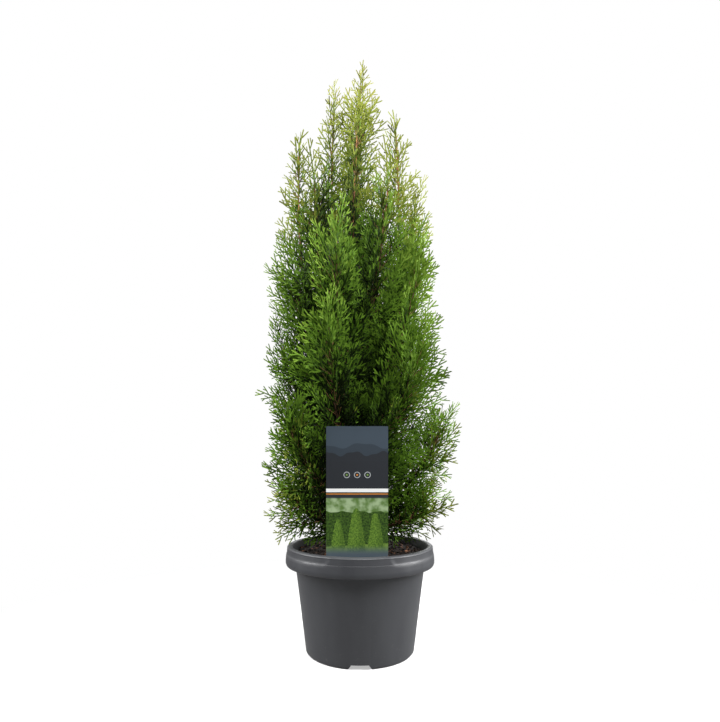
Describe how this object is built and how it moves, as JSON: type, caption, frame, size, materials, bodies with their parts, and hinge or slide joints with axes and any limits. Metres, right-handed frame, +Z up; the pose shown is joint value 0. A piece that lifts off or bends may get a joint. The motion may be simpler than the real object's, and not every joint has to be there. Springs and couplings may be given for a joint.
{
  "type": "potted thuja",
  "caption": "Young narrow evergreen thuja with upright feathery plumes, in a round plastic nursery pot with a stepped rim and a standing plant label.",
  "frame": {"origin": "centre of the pot's flat underside, on the surface it stands on", "axes": "+Z up along the pot's axis, -Y towards the front, where the label stands, +X to the viewer's right when seen from the front"},
  "size_m": [0.2508, 0.2229, 0.6948],
  "materials": {
    "pot_plastic": "satin moulded anthracite plastic",
    "compost": "crumbly dark peat compost with bark bits",
    "label_card": "printed satin plastic card",
    "bark": "red-brown, finely flaking young bark",
    "scale_leaves": "flat sprays of overlapping scale leaves"
  },
  "bodies": {
    "root": {"bough_back_leader": "bark", "bough_left_leader": "bark", "bough_right_leader": "bark", "bough_second_leader": "bark", "bough_shoulder_1": "bark", "bough_shoulder_2": "bark", "bough_shoulder_3": "bark", "bough_shoulder_4": "bark", "bough_shoulder_5": "bark", "bough_third_leader": "bark", "bough_upper_1": "bark", "bough_upper_2": "bark", "bough_upper_3": "bark", "bough_upper_4": "bark", "bough_upper_5": "bark", "foliage_back_leader": "scale_leaves", "foliage_left_leader": "scale_leaves", "foliage_lower_1": "scale_leaves", "foliage_lower_2": "scale_leaves", "foliage_lower_3": "scale_leaves", "foliage_lower_4": "scale_leaves", "foliage_lower_5": "scale_leaves", "foliage_middle_1": "scale_leaves", "foliage_middle_2": "scale_leaves", "foliage_middle_3": "scale_leaves", "foliage_middle_4": "scale_leaves", "foliage_middle_5": "scale_leaves", "foliage_right_leader": "scale_leaves", "foliage_second_leader": "scale_leaves", "foliage_shoulder_1": "scale_leaves", "foliage_shoulder_2": "scale_leaves", "foliage_shoulder_3": "scale_leaves", "foliage_shoulder_4": "scale_leaves", "foliage_shoulder_5": "scale_leaves", "foliage_skirt_1": "scale_leaves", "foliage_skirt_2": "scale_leaves", "foliage_skirt_3": "scale_leaves", "foliage_skirt_4": "scale_leaves", "foliage_skirt_5": "scale_leaves", "foliage_skirt_6": "scale_leaves", "foliage_third_leader": "scale_leaves", "foliage_top": "scale_leaves", "foliage_upper_1": "scale_leaves", "foliage_upper_2": "scale_leaves", "foliage_upper_3": "scale_leaves", "foliage_upper_4": "scale_leaves", "foliage_upper_5": "scale_leaves", "plant_label": "label_card", "pot": "pot_plastic", "potting_soil": "compost", "trunk": "bark"}
  },
  "joints": []
}
